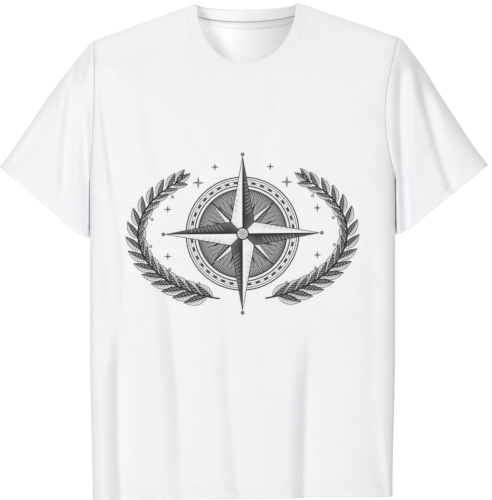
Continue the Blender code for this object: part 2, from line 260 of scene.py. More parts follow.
def posed(points):
    """Where points of the even, upright shirt lie on a wearer who leans a little."""
    x, y, z = points[..., 0], points[..., 1], points[..., 2]
    sway = mix(BODY_SWAY, NECK_SWAY, smooth(CHEST_Z, NECK_BACK_Z, z))
    return joined(x + sway, y, z + TILT * x)


def half_width(z):
    return mix(CHEST_HALF_WIDTH, HEM_HALF_WIDTH, smooth(TAPER_START_Z, HEM_Z, z))


def edge_x(z, hand):
    """Half of a panel's width: the side seam, and above the underarm the armhole."""
    up = np.clip((z - UNDERARM_Z) / (SHOULDER_TIP_Z - UNDERARM_Z), 0.0, 1.0)
    inset = np.where(hand > 0, ARMHOLE_INSET[LEFT], ARMHOLE_INSET[RIGHT])
    return half_width(z) - inset * np.sin(math.pi * up)


def depth(side, z):
    if side == FRONT:
        return mix(FRONT_DEPTH, FRONT_HEM_DEPTH, smooth(CHEST_Z, HEM_Z, z))
    waist = mix(BACK_DEPTH, BACK_WAIST_DEPTH, smooth(CHEST_Z, WAIST_Z, z))
    return mix(waist, BACK_HEM_DEPTH, smooth(WAIST_Z, HEM_Z, z))


def shoulder_z(x):
    """Height of the shoulder line, run on up inside the neck."""
    across = np.abs(x)
    inner = NECK_POINT_Z + NECK_RISE * (NECK_HALF_WIDTH ** 2 - x * x) / (2 * NECK_HALF_WIDTH)
    out = (across - NECK_HALF_WIDTH) / (CHEST_HALF_WIDTH - NECK_HALF_WIDTH)
    return np.where(across < NECK_HALF_WIDTH, inner, mix(NECK_POINT_Z, SHOULDER_TIP_Z, out))


def fold_depth(folds, x, z):
    """How far a table's folds push the cloth in at these places."""
    total = np.zeros(np.broadcast(x, z).shape)
    for row in folds:
        fold = dict(zip(FOLD, row))
        t = np.clip((fold["z_top"] - z) / (fold["z_top"] - fold["z_low"]), 0.0, 1.0)
        line = (1 - t) * (1 - 2 * t) * fold["x_top"] + 4 * t * (1 - t) * fold["x_mid"]
        line = line + t * (2 * t - 1) * fold["x_low"]
        fade = smooth(fold["z_top"], fold["z_top"] - fold["fade_top"], z)
        fade = fade * smooth(fold["z_low"], fold["z_low"] + fold["fade_low"], z)
        away = np.sqrt((x - line) ** 2 + CREASE ** 2) - CREASE
        off = np.minimum(away / np.where(x > line, fold["after"], fold["before"]), 1.0)
        shape = np.where(x > line, 1 - off * off * (3 - 2 * off), (1 - off) ** 2)
        total = total + fold["deep"] * fade * shape
    return total


def slack(x, z):
    return sum(height * np.sin(a * x + b * z + a) for height, a, b in SLACK)


def cloth_y(side, x, z):
    """The y of the front's or back's outer face."""
    across = np.minimum(np.abs(x) / half_width(z), 1.0)
    section = (1 - across ** SECTION_POWER) ** (1 / SECTION_POWER)
    centre, tip = FRONT_ROUNDING if side == FRONT else BACK_ROUNDING
    height = mix(centre, tip, (x / CHEST_HALF_WIDTH) ** 2)
    down = np.clip((shoulder_z(x) - z) / height, 0.0, 1.0)
    ridge = mix(NECK_RIDGE, TIP_RIDGE, smooth(NECK_HALF_WIDTH, CHEST_HALF_WIDTH, np.abs(x)))
    rounding = (1 - (1 - down) ** 2) ** ridge
    pushed = fold_depth(FOLDS[side], x, z) + slack(x, z)
    full = depth(side, z) * section * rounding
    return side * (full - pushed * np.minimum(section * 1.5, 1.0) * rounding)


def neck_seam(angle):
    """The seam of the neck band, as x and z. The angle is 0 at the front."""
    low = np.where(np.cos(angle) >= 0, NECK_FRONT_Z, NECK_BACK_Z)
    return NECK_HALF_WIDTH * np.sin(angle), mix(NECK_POINT_Z, low, np.abs(np.cos(angle)))


def top_edge(side, u):
    """A panel's upper edge: the shoulder line, and the neck seam between the neck points."""
    across = np.abs(u)
    out = (across - NECK_SHARE) / (1 - NECK_SHARE)
    x_shoulder = np.sign(u) * mix(NECK_HALF_WIDTH, CHEST_HALF_WIDTH, np.maximum(out, 0.0))
    angle = np.clip(u / NECK_SHARE, -1.0, 1.0) * math.pi / 2
    if side == BACK:
        angle = math.pi - angle
    x_neck, z_neck = neck_seam(angle)
    on_shoulder = across >= NECK_SHARE
    x = np.where(on_shoulder, x_shoulder, x_neck)
    return x, np.where(on_shoulder, shoulder_z(x_shoulder), z_neck)


def panel_points(side, u, drop):
    """Points of the front or back. drop is 0 to 1 over the armhole, then adds metres downwards."""
    x_top, z_top = top_edge(side, u)
    hand = np.where(u > 0, LEFT, RIGHT)
    upper = mix(UNDERARM_Z, z_top, (1 + np.cos(np.minimum(drop, 1.0) * math.pi)) / 2)
    z = np.where(drop <= 1, upper, UNDERARM_Z - (drop - 1))
    up = smooth(UNDERARM_Z, z_top, z)
    x = edge_x(z, hand) * mix(np.sin(u * math.pi / 2), x_top / edge_x(z_top, hand), up)
    return joined(x, cloth_y(side, x, z), z)


# The sleeves' form

def armhole(angle, hand):
    """An armhole's seam, mirrored to the left: 0 at the shoulder, a quarter turn in front."""
    middle = (SHOULDER_TIP_Z + UNDERARM_Z) / 2
    z = middle + (SHOULDER_TIP_Z - middle) * np.cos(angle)
    x = edge_x(z, hand)
    y = np.where(np.sin(angle) >= 0, cloth_y(FRONT, x * hand, z), cloth_y(BACK, x * hand, z))
    return joined(x, y, z)


def cuff(angle, hand):
    """The edge of a sleeve, mirrored to the left."""
    outer = np.array((CUFF_OUTER[hand][0], 0.0, CUFF_OUTER[hand][1]))
    inner = np.array((CUFF_INNER[0], 0.0, CUFF_INNER[1]))
    sideways = np.array((0.0, -CUFF_HALF_DEPTH, 0.0))
    cosine, sine = np.cos(angle)[..., None], np.sin(angle)[..., None]
    reach = (np.abs(cosine) ** CUFF_POWER + np.abs(sine) ** CUFF_POWER) ** (-1 / CUFF_POWER)
    cosine, sine = cosine * reach, sine * reach
    return (outer + inner) / 2 + (outer - inner) / 2 * cosine + sideways * sine


def smooth_sleeve(hand, angle, t):
    """Points of a sleeve without folds: t is 0 at the armhole and 1 at the cuff's edge."""
    run = np.array((math.sin(SLEEVE_SLOPE), 0.0, -math.cos(SLEEVE_SLOPE)))
    fall = np.array((CHEST_HALF_WIDTH - NECK_HALF_WIDTH, 0.0, SHOULDER_TIP_Z - NECK_POINT_Z))
    angle, t = np.broadcast_arrays(angle, t)
    top = np.maximum(np.cos(angle), 0.0)[..., None]
    level = mix(SIDE_LEAVE, 1.0, np.abs(np.cos(angle)))[..., None]
    leave = unit(mix(run, unit(fall), level))
    start = armhole(angle, hand) + leave * SEAM_SLACK
    end = cuff(angle, hand)
    far = np.linalg.norm(end - start, axis=-1, keepdims=True)
    a, b = leave * far * mix(UNDERARM_FLARE, SHOULDER_FLARE, top), run * far
    t = t[..., None]
    t2, t3 = t * t, t * t * t
    point = start * (2 * t3 - 3 * t2 + 1) + a * (t3 - 2 * t2 + t)
    point = point + end * (3 * t2 - 2 * t3) + b * (t3 - t2)
    return point * np.array((hand, 1.0, 1.0))


def sleeve_points(hand, angle, t):
    """Points of a sleeve with its folds. Its underside lies against the body."""
    points = smooth_sleeve(hand, angle, t)
    x, z = points[..., 0], points[..., 2]
    low = -np.cos(angle)
    gap = np.maximum(np.abs(x) - half_width(z) - UNDER_CLEAR, 0.0)
    lying = smooth(0.45, 0.80, low)
    points[..., 0] -= hand * gap * lying * smooth(0.0, 0.12, t)
    under = smooth(0.66, 0.90, low)
    corner = smooth(0.40, 0.64, low) * (1 - under)
    points[..., 2] += (UNDER_RISE * under - CORNER_DROP * corner) * smooth(0.4, 1.0, t)
    x, z = points[..., 0], points[..., 2]
    loose = slack(x, z) * smooth(0.0, 0.06, t) * (1 - lying)
    points = points - grid_normals(points, hand, True) * loose[..., None]
    for side in (FRONT, BACK):
        shown = smooth(0.05, 0.50, -side * np.sin(angle)) * smooth(0.0, 0.06, t)
        points[..., 1] -= side * shown * fold_depth(SLEEVE_FOLDS[hand, side], x, z)
    return points


# Meshes from grids of points, rows by columns

def grid_normals(points, turn, wrap):
    """Unit normals of a grid, pointing out of the shirt for the right turn."""
    if wrap:
        across = np.roll(points, -1, axis=1) - np.roll(points, 1, axis=1)
    else:
        across = np.gradient(points, axis=1)
    return unit(np.cross(across, np.gradient(points, axis=0))) * turn


def edge_distance(points, axis=0, from_end=False):
    """How far each point lies from one edge of a grid, or from one end of a line, along it."""
    if from_end:
        points = np.flip(points, axis)
    steps = np.linalg.norm(np.diff(points, axis=axis), axis=-1)
    zero = np.zeros_like(np.take(steps, [0], axis=axis))
    far = np.concatenate([zero, np.cumsum(steps, axis=axis)], axis=axis)
    return np.flip(far, axis) if from_end else far


def rolled(distance, radius):
    """How deep a rounded edge lies at this distance from it."""
    short = np.clip(radius - distance, 0.0, radius)
    return radius - np.sqrt(np.maximum(radius * radius - short * short, 0.0))


def hem_relief(rise, along, rows):
    """How far stitching pulls a hem in: a groove under each row and small slanting waves."""
    pulled = sum(GROOVE * np.exp(-((rise - row) / GROOVE_WIDTH) ** 2) for row in rows)
    waves = np.sin((along + rise * PUCKER_SLANT) * 2 * math.pi / PUCKER_PITCH)
    waves = waves + SLOW_PUCKER * np.sin(along * SLOW_RATE)
    waves = waves * smooth(rows[-1] + 0.004, rows[-1] - 0.003, rise) * smooth(0.0, 0.004, rise)
    return pulled + PUCKER * waves


def near_edges(values, steps):
    """values from -1 to 1, with extra ones at these steps from both ends."""
    extra = [-1 + s for s in steps] + [1 - s for s in steps]
    kept = values[np.abs(values) < 1 - steps[-1] * 1.3]
    return np.unique(np.concatenate([kept, extra, [-1, 1]]))


def grid_faces(rows, columns, wrap):
    index = np.arange(rows * columns).reshape(rows, columns)
    if wrap:
        index = np.concatenate([index, index[:, :1]], axis=1)
    quads = joined(index[:-1, :-1], index[:-1, 1:], index[1:, 1:], index[1:, :-1])
    return index, quads.reshape(-1, 4)


def shell(name, points, near, deep, turn, wrap, weave):
    """A closed mesh of cloth, whose faces lie `near` and `deep` under a grid of points."""
    rows, columns = points.shape[:2]
    index, quads = grid_faces(rows, columns, wrap)
    count = rows * columns
    faces = [quads, quads[:, ::-1] + count]
    borders = [index[0, :], index[-1, ::-1]]
    if not wrap:
        borders += [index[:, -1], index[::-1, 0]]
    for line in borders:
        a, b = line[:-1], line[1:]
        faces.append(joined(b, a, a + count, b + count))
    faces = np.concatenate(faces)
    if turn < 0:
        faces = faces[:, ::-1]
    normals = grid_normals(points, turn, wrap)
    both = np.concatenate([(points - normals * under[..., None]).reshape(-1, 3) for under in (near, deep)])
    place = np.concatenate([weave.reshape(-1, 2)] * 2)
    return mesh_object(name, posed(both), faces, place)


def mesh_object(name, points, faces, weave=None, tone=None):
    """A mesh piece. weave is each point's place in the flat cloth, tone how bare it is of ink."""
    mesh = bpy.data.meshes.new(name)
    mesh.from_pydata(points.tolist(), [], faces.tolist())
    mesh.shade_smooth()
    if weave is not None:
        flat = np.zeros((len(points), 3), dtype=np.float32)
        flat[:, :2] = weave
        mesh.attributes.new("weave", "FLOAT_VECTOR", "POINT").data.foreach_set("vector", flat.ravel())
    if tone is not None:
        mesh.attributes.new("tone", "FLOAT", "POINT").data.foreach_set("value", tone.astype(np.float32))
    made = bpy.data.objects.new(name, mesh)
    bpy.context.scene.collection.objects.link(made)
    return made


# Cloth pieces

def hem_rows(above, stitches, below):
    """The heights over a hem's edge that need a row of points, three of them to a row of stitches."""
    grooves = [row + off for row in reversed(stitches) for off in (GROOVE_WIDTH, 0.0, -GROOVE_WIDTH)]
    return np.array([*above, *grooves, *below])


def hemmed(name, points, turn, wrap, seams, rise, along, hem, stitches, weave):
    """A closed cloth with a turned-up hem, rolled where it comes near the seams."""
    lip = rolled(rise, HEM_LAYERS / 2)
    near = rolled(seams, SEAM_ROLL) + lip + hem_relief(rise, along, stitches)
    layers = mix(HEM_LAYERS, JERSEY, smooth(hem - 0.0003, hem + 0.0006, rise))
    return shell(name, points, near, np.maximum(layers - lip, near + 0.0001), turn, wrap, weave)


def make_panel(name, side):
    """The front or the back with its turned-up hem, as one closed cloth."""
    u = near_edges(np.linspace(-1, 1, COLUMNS), (0.0006, 0.0013, 0.0022, 0.0036, 0.0060))
    start = (0.0, 0.0012, 0.0023, 0.0036, 0.010, 0.018, 0.028)
    side_length = UNDERARM_Z - HEM_Z
    plain = np.linspace(0, side_length - BODY_HEM - 0.0012, SIDE_ROWS)[1:]
    rises = hem_rows((BODY_HEM, BODY_HEM - 0.0004), HEM_STITCHES,
                     (0.0118, 0.0092, 0.0066, 0.0042, 0.0022, 0.0009, 0.0004, 0.0001, 0.0))
    drop = np.concatenate([start, np.linspace(0.042, 1, ARMHOLE_ROWS), 1 + plain, 1 + side_length - rises])
    points = panel_points(side, u[None, :], drop[:, None])
    along = edge_distance(points, 1)
    sides = np.minimum(along, edge_distance(points, 1, True))
    seams = np.minimum(sides, edge_distance(points))
    rise = points[..., 2] - HEM_Z
    return hemmed(name, points, side, False, seams, rise, along, BODY_HEM, HEM_STITCHES, points[..., [0, 2]])


def make_sleeve(name, hand):
    """A sleeve with its turned-up cuff, as one closed cloth."""
    rises = hem_rows((CUFF_HEM + 0.0008, CUFF_HEM, CUFF_HEM - 0.0006), CUFF_STITCHES,
                     (0.0080, 0.0056, 0.0034, 0.0018, 0.0008, 0.0003, 0.0))
    hem = 1 - rises / SLEEVE_LENGTH
    t = np.concatenate([(0.0, 0.0015, 0.003, 0.006), np.linspace(0.013, hem[0] - 0.006, SLEEVE_ROWS), hem])
    angle = full_turn(SLEEVE_COLUMNS)
    points = sleeve_points(hand, angle, t[:, None])
    rise = edge_distance(points, 0, True)
    along = angle * CUFF_HALF_DEPTH
    return hemmed(name, points, hand, True, edge_distance(points), rise, along, CUFF_HEM, CUFF_STITCHES,
                  joined(along, rise))


def make_band():
    """The neck band: a folded strip of rib, its ribs running across it."""
    angle = full_turn(RIBS * 4)
    x, z = neck_seam(angle)
    forward = np.cos(angle)
    y = np.where(forward >= 0, cloth_y(FRONT, x, z), cloth_y(BACK, x, z))
    edge_z = mix(BAND_SIDE_Z, np.where(forward >= 0, BAND_FRONT_Z, BAND_BACK_Z), np.abs(forward))
    edge = joined(BAND_HALF_WIDTH * np.sin(angle), y + BAND_LEAN * forward, edge_z)
    close = np.array((0.0, 0.0003, 0.0007, 0.0013, 0.0021))
    middle = np.linspace(0.0036, BAND_WIDTH - 0.0036, 6)
    across = np.concatenate([close, middle, BAND_WIDTH - close[::-1]])[:, None]
    points = mix(joined(x, y, z), edge, across[..., None] / BAND_WIDTH)
    fold = rolled(BAND_WIDTH - across, RIB / 2)
    ribs = RIB_HEIGHT * np.cos(angle * RIBS) * smooth(0.0, 0.0016, across)
    near = rolled(across, SEAM_ROLL) + fold - ribs
    weave = joined(angle * BAND_HALF_WIDTH, across)
    return shell("rib_band", points, near, RIB - fold + ribs, 1, True, weave)


def make_strip(name, points, turn, near, thick, wrap=False):
    """A strip that lies `near` under the surface whose points it is given."""
    weave = joined(edge_distance(points, 1), edge_distance(points))
    return shell(name, points, near, near + thick, turn, wrap, weave)


def make_overlock(kind, name, points, turn, across, along, wrap=False):
    """An overlocked seam allowance, ridged by one slanting loop of thread after another."""
    slant = (along + across * LOOP_SLANT) * 2 * math.pi / OVERLOCK_PITCH
    ridge = LOOP_HEIGHT * (1 + np.sin(slant)) * smooth(0.0, 0.0006, across)
    near = JERSEY + UNDER_CLOTH + SEAM_DEPTH[kind] + 2 * LOOP_HEIGHT - ridge
    thick = OVERLOCK + 2 * ridge - 2 * LOOP_HEIGHT
    return make_strip("overlock_" + kind + "_" + name, points, turn, near, thick, wrap)


def make_seams():
    """The overlocked seams, which lie inside the shirt."""
    made = []
    across = np.array((0.0004, 0.0009, 0.0016, 0.0024, 0.0032, 0.0040, 0.0048, 0.0055, 0.0060))
    for name, hand in HANDS.items():
        z = np.arange(HEM_Z + BODY_HEM + 0.003, UNDERARM_Z - 0.004, OVERLOCK_PITCH / 4)
        y, z = np.meshgrid(across, z)
        wall = half_width(z) * (1 - (y / depth(BACK, z)) ** SECTION_POWER) ** (1 / SECTION_POWER)
        made.append(make_overlock("side", name, joined(wall * hand, y, z), hand, y, z))

        angle = full_turn(800)
        points = sleeve_points(hand, angle, across[:, None] / SLEEVE_LENGTH)
        made.append(make_overlock("armhole", name, points, hand, across[:, None], angle * 0.08, True))

        end = 1 - (CUFF_HEM + 0.004) / SLEEVE_LENGTH
        t = np.arange(0.045, end, OVERLOCK_PITCH / 4 / SLEEVE_LENGTH)[:, None]
        points = smooth_sleeve(hand, math.pi, t) + joined(0.0, across, 0.0)
        made.append(make_overlock("underarm", name, points, hand, across, t * SLEEVE_LENGTH))

        count = round((CHEST_HALF_WIDTH - NECK_HALF_WIDTH) / OVERLOCK_PITCH * 4)
        u = np.sort(np.linspace(NECK_SHARE + 0.03, 0.985, count) * hand)[None, :]
        points = panel_points(BACK, u, np.linspace(0.010, 0.028, 8)[:, None])
        wide, along = edge_distance(points), edge_distance(points, 1)
        made.append(make_overlock("shoulder", name, points, BACK, wide, along))
    return made


def tape_point(u, down):
    """A point of the back, `down` below its neck seam."""
    x_top, z_top = top_edge(BACK, u)
    x = x_top * (1 - down / TAPE_MEET)
    z = z_top - down
    return joined(x, cloth_y(BACK, x, z), z)


def make_tape():
    """The woven tape that covers the back of the neck seam, inside."""
    u = np.linspace(-NECK_SHARE + 0.012, NECK_SHARE - 0.012, 170)[None, :]
    down = np.concatenate([(0.0012, 0.0015, 0.002), np.linspace(0.0035, TAPE_WIDTH - 0.002, 5),
                           TAPE_WIDTH - np.array((0.0008, 0.0003, 0.0))])[:, None]
    edges = rolled(np.minimum(down - down[0], down[-1] - down), TAPE_ROLL)
    near = JERSEY + UNDER_CLOTH + TAPE_DEPTH + edges
    return make_strip("neck_tape_cloth", tape_point(u, down), BACK, near, TAPE - 2 * edges)


# Stitches

def read_at(places, along, values):
    """Rows of values at other places. along says how far along each given row lies."""
    return joined(*(np.interp(places, along, column) for column in values.T))


def stitched(points, turn, wrap, depth, lift, facing=1):
    """The stitches along the middle one of three rows of points, `depth` under their surface.

    They are given by their starts, their ends and the way up, which is inwards for facing -1.
    """
    normals = grid_normals(points, turn, wrap)[1]
    line = points[1] - normals * depth
    along = edge_distance(line)
    starts = np.arange(STITCH_PITCH / 2, along[-1] - STITCH_PITCH, STITCH_PITCH)
    ends = starts + STITCH_PITCH - STITCH_GAP
    raised = line + facing * normals * lift
    up = unit(read_at(starts, along, facing * normals))
    return read_at(starts, along, raised), read_at(ends, along, raised), up


def beads(name, rows):
    """One mesh of many short lengths of thread. Each is a slim bead with pointed ends."""
    starts, ends, up = (np.concatenate([row[k] for row in rows]) for k in range(3))
    along = ends - starts
    side = unit(np.cross(along, up))
    up = unit(np.cross(side, along))
    profile = ((0.0, 0.35, -0.9), (0.14, 0.9, 0.0), (0.5, 1.0, 0.5), (0.86, 0.9, 0.0), (1.0, 0.35, -0.9))
    sides = 6
    turns = np.arange(sides) * 2 * math.pi / sides
    rings = []
    for place, wide, lift in profile:
        centre = starts + along * place + up * lift * STITCH_RADIUS
        ring = centre[:, None] + STITCH_RADIUS * wide * (
            side[:, None] * np.cos(turns)[None, :, None] + up[:, None] * np.sin(turns)[None, :, None])
        rings.append(ring)
    points = np.stack(rings, axis=1)
    count, ring_count = points.shape[:2]
    local = np.arange(ring_count * sides).reshape(ring_count, sides)
    following = np.roll(local, -1, axis=1)
    quads = joined(local[:-1], local[1:], following[1:], following[:-1]).reshape(-1, 4)
    first = np.arange(count)[:, None, None] * ring_count * sides
    faces = (quads[None] + first).reshape(-1, 4)
    near_cap = np.stack([local[0, [0, 1, 2, 3]], local[0, [0, 3, 4, 5]]])
    far_cap = np.stack([local[-1, [0, 3, 2, 1]], local[-1, [0, 5, 4, 3]]])
    caps = (np.concatenate([near_cap, far_cap])[None] + first).reshape(-1, 4)
    return mesh_object(name, posed(points.reshape(-1, 3)), np.concatenate([faces, caps]))


def beside(row, step):
    """A row of stitches with a line on either side of it, as three heights."""
    return np.array((row + step, row, row - step))[:, None]


def make_stitches():
    """The twin rows on the hem and cuffs and the two rows on the neck tape."""
    made = []
    u = np.linspace(-0.9985, 0.9985, 1600)[None, :]
    for name, side in SIDES.items():
        rows = []
        for rise in HEM_STITCHES:
            points = panel_points(side, u, 1 + UNDERARM_Z - HEM_Z - beside(rise, 0.002))
            relief = hem_relief(rise, edge_distance(points, 1)[1], HEM_STITCHES)[:, None]
            rows.append(stitched(points, side, False, relief, STITCH_LIFT))
        made.append(beads("stitches_hem_" + name, rows))
    angle = full_turn(900)
    for name, hand in HANDS.items():
        rows = []
        for rise in CUFF_STITCHES:
            points = sleeve_points(hand, angle, 1 - beside(rise, 0.002) / SLEEVE_LENGTH)
            relief = hem_relief(rise, angle[0] * CUFF_HALF_DEPTH, CUFF_STITCHES)[:, None]
            rows.append(stitched(points, hand, True, relief, STITCH_LIFT))
        made.append(beads("stitches_cuff_" + name, rows))
    u = np.linspace(-NECK_SHARE + 0.02, NECK_SHARE - 0.02, 500)[None, :]
    under = JERSEY + UNDER_CLOTH + TAPE_DEPTH + TAPE
    rows = [stitched(tape_point(u, beside(down, -0.001)), BACK, False, under, TAPE_STITCH_LIFT, -1)
            for down in TAPE_STITCHES]
    made.append(beads("stitches_tape", rows))
    return made


# The print. Every shape is a strip between two lines, in metres around the print's centre.

def polar(radius, turn):
    """Points at these distances and angles. The angle is 0 straight up and grows to the right."""
    return joined(radius * np.sin(turn), radius * np.cos(turn))


def turns(count, shift=0.0):
    """Angles that share a whole turn evenly."""
    return [2 * math.pi * (k + shift) / count for k in range(count)]


def segment(a, b, count=2):
    return mix(np.array(a), np.array(b), np.linspace(0, 1, count)[:, None])


def arc(radius, start=0.0, end=2 * math.pi):
    count = max(3, math.ceil(abs(end - start) * radius / PRINT_STEP) + 1)
    return polar(radius, np.linspace(start, end, count))


def evened(line, count):
    """The same line with count points, evenly spaced."""
    along = edge_distance(line)
    return read_at(np.linspace(0, along[-1], count), along, line)


class Drawing:
    """Collects strips of ink and lays them on the shirt's front as one mesh."""

    def __init__(self):
        self.points, self.tones, self.layers, self.faces, self.count = [], [], [], [], 0

    def fill(self, a, b, tone_a, tone_b, layer=0):
        """Fills the strip between two lines, shaded from one tone to the other."""
        longest = max(edge_distance(line)[-1] for line in (a, b))
        rows = max(2, math.ceil(longest / PRINT_STEP) + 1)
        a, b = evened(a, rows), evened(b, rows)
        widest = np.linalg.norm(a - b, axis=1).max()
        columns = max(2, math.ceil(widest / PRINT_STEP) + 1)
        t = np.linspace(0, 1, columns)
        tone = mix(tone_a, tone_b, t)
        _, quads = grid_faces(rows, columns, False)
        flat = mix(a[:, None], b[:, None], t[:, None]).reshape(-1, 2)
        corners = flat[quads]
        diagonal_a, diagonal_b = corners[:, 2] - corners[:, 0], corners[:, 3] - corners[:, 1]
        turned = diagonal_a[:, 0] * diagonal_b[:, 1] - diagonal_a[:, 1] * diagonal_b[:, 0]
        quads = np.where((turned < 0)[:, None], quads[:, ::-1], quads)
        self.points.append(flat)
        self.tones.append(np.broadcast_to(tone, (rows, columns)).ravel())
        self.layers.append(np.full(len(flat), layer))
        self.faces.append(quads + self.count)
        self.count += len(flat)

    def stroke(self, line, width, tone=INK, layer=4, ends=(1.0, 1.0)):
        """A pen line. ends are its widths at both ends, as shares of its width at the middle."""
        line = evened(line, max(3, math.ceil(edge_distance(line)[-1] / PRINT_STEP) + 1))
        along = unit(np.gradient(line, axis=0))
        side = joined(-along[:, 1], along[:, 0])
        t = np.linspace(0, 1, len(line))
        swell = np.sin(math.pi * t) ** 0.6
        half = 0.5 * width * (mix(ends[0], ends[1], t) * (1 - swell) + swell)
        self.fill(line - side * half[:, None], line + side * half[:, None], tone, tone, layer)

    def loop(self, radius, width, tone=INK, layer=4, centre=(0.0, 0.0)):
        """A full circle of ink."""
        centre = np.array(centre)
        self.fill(arc(radius - width / 2) + centre, arc(radius + width / 2) + centre, tone, tone, layer)

    def laid(self, name):
        flat = np.concatenate(self.points) + np.array(PRINT_CENTRE)
        x, z = flat[:, 0], flat[:, 1]
        step = 0.0005
        slope_x = (cloth_y(FRONT, x + step, z) - cloth_y(FRONT, x - step, z)) / (2 * step)
        slope_z = (cloth_y(FRONT, x, z + step) - cloth_y(FRONT, x, z - step)) / (2 * step)
        out = unit(joined(slope_x, -np.ones_like(x), slope_z))
        lift = PRINT_LIFT + LAYER_LIFT * np.concatenate(self.layers)
        points = joined(x, cloth_y(FRONT, x, z), z) + out * lift[:, None]
        return mesh_object(name, posed(points), np.concatenate(self.faces), flat, np.concatenate(self.tones))


def draw_point(drawing, turn, reach, waist, spread, layer):
    """One point of the rose: a long kite, dark on one side of its middle line."""
    tip, middle = polar(reach, turn), np.zeros(2)
    axis = segment(middle, tip)
    for side, near, far in ((1, 0.02, 0.16), (-1, 0.98, 0.84)):
        edge = np.stack([middle, polar(waist, turn + side * spread), tip])
        drawing.fill(evened(axis, 40), evened(edge, 40), near, far, layer)
        drawing.stroke(edge, FINE, INK, layer + 2, (0.6, 0.5))
        hatches = 9 if side > 0 else 6
        for k in range(hatches):
            start = mix(0.22, 0.72, k / hatches)
            a = mix(axis[0], tip, start)
            b = mix(edge[1], tip, start * 0.9)
            if side < 0:
                a, b = b, mix(b, a, 0.55)
                drawing.stroke(segment(a, b), HAIR, 0.25, layer + 1, (1.0, 0.2))
            else:
                drawing.stroke(segment(mix(a, b, 0.3), b), HAIR, 0.62, layer + 1, (0.3, 1.0))
    drawing.stroke(axis, FINE, INK, layer + 2, (0.6, 0.6))


def draw_ring(drawing):
    """The graduated ring around the rose and the shading inside it."""
    inner, outer = RING - 0.0055, RING + 0.0105
    drawing.fill(arc(0.006), arc(inner), 0.60, 0.10, 0)
    drawing.fill(arc(inner), arc(RING), 0.90, 0.90, 0)
    drawing.fill(arc(RING), arc(outer), 0.92, 0.97, 0)
    for radius, width in ((inner, FINE), (RING - 0.001, BOLD), (RING + 0.0085, FINE), (outer + 0.001, BOLD)):
        drawing.loop(radius, width)
    for start in turns(BLOCKS):
        end = start + math.pi / BLOCKS
        drawing.fill(arc(RING + 0.0022, start, end), arc(RING + 0.0052, start, end), INK, 0.12, 2)
    for radius in (RING + 0.0022, RING + 0.0052):
        drawing.loop(radius, HAIR)
    for k, turn in enumerate(turns(TICKS)):
        long = 0.0082 if k % 4 == 0 else 0.0070
        drawing.stroke(segment(polar(RING + 0.0052, turn), polar(RING + long, turn)), HAIR, INK, 3)
    for k, turn in enumerate(turns(RAYS, 0.5)):
        start, reach = ((0.0020, 0.0180), (0.0020, 0.0110), (0.0020, 0.0260))[k % 3]
        line = segment(polar(inner - start, turn), polar(inner - reach, turn))
        drawing.stroke(line, HAIR, 0.78, 1, (0.5, 0.9))


def draw_rose(drawing):
    """A wind rose of four long, four shorter and eight small points."""
    for count, shift, *form in ROSE_POINTS:
        for turn in turns(count, shift):
            draw_point(drawing, turn, *form)
    for turn in turns(4):
        ball = polar(ROSE_REACH + 0.0030, turn)
        drawing.fill(arc(0.0003) + ball, arc(0.0024) + ball, 0.45, INK, 9)
        drawing.loop(0.0024, HAIR, INK, 10, ball)
    drawing.fill(arc(0.0002), arc(0.0085), 0.95, 0.60, 12)
    for turn in turns(8):
        edges = [np.array([polar(0.0022, turn), polar(0.0048, turn + bulge), polar(0.0076, turn)])
                 for bulge in (-0.30, 0.30)]
        drawing.fill(*edges, 0.08, 0.65, 13)
    drawing.loop(0.0085, BOLD, INK, 14)
    drawing.loop(0.0019, FINE, INK, 14)


def draw_star(drawing, centre, reach):
    """A small star of four points between the rose and the wreath."""
    for turn in turns(4):
        tip = polar(reach, turn) + centre
        for side, tone in ((1, INK), (-1, 0.80)):
            waist = polar(reach * 0.26, turn + side * math.pi / 4) + centre
            drawing.fill(segment(centre, tip), np.stack([centre, waist, tip]), tone, tone, 2)
            drawing.stroke(np.stack([centre, waist, tip]), HAIR, INK, 3)


def draw_leaf(drawing, base, heading, length, bend, layer):
    """A leaf from its base: two halves, one washed dark, with a midrib and veins."""
    t = np.linspace(0, 1, 16)
    turn = heading + bend * t
    steps = polar(length / 15, turn)
    rib = base + np.cumsum(steps, axis=0) - steps[0]
    side = joined(steps[:, 1], -steps[:, 0]) / (length / 15)
    half = length * 0.190 * np.sin(math.pi * t ** 0.85)
    dark = math.copysign(1.0, bend)
    for way, near, far in ((dark, 0.02, 0.14), (-dark, 0.50, 0.94)):
        edge = rib + side * (half * way)[:, None]
        drawing.fill(rib, edge, near, far, layer)
        drawing.stroke(edge, FINE, INK, layer + 2, (0.5, 0.5))
        for k in (3, 5, 7, 9, 11):
            vein = np.stack([rib[k], mix(rib[k + 2], edge[k + 2], 0.75)])
            drawing.stroke(vein, HAIR, 0.75 if way == dark else 0.05, layer + 1, (1.0, 0.3))
    drawing.stroke(rib, FINE, INK, layer + 2, (1.0, 0.3))


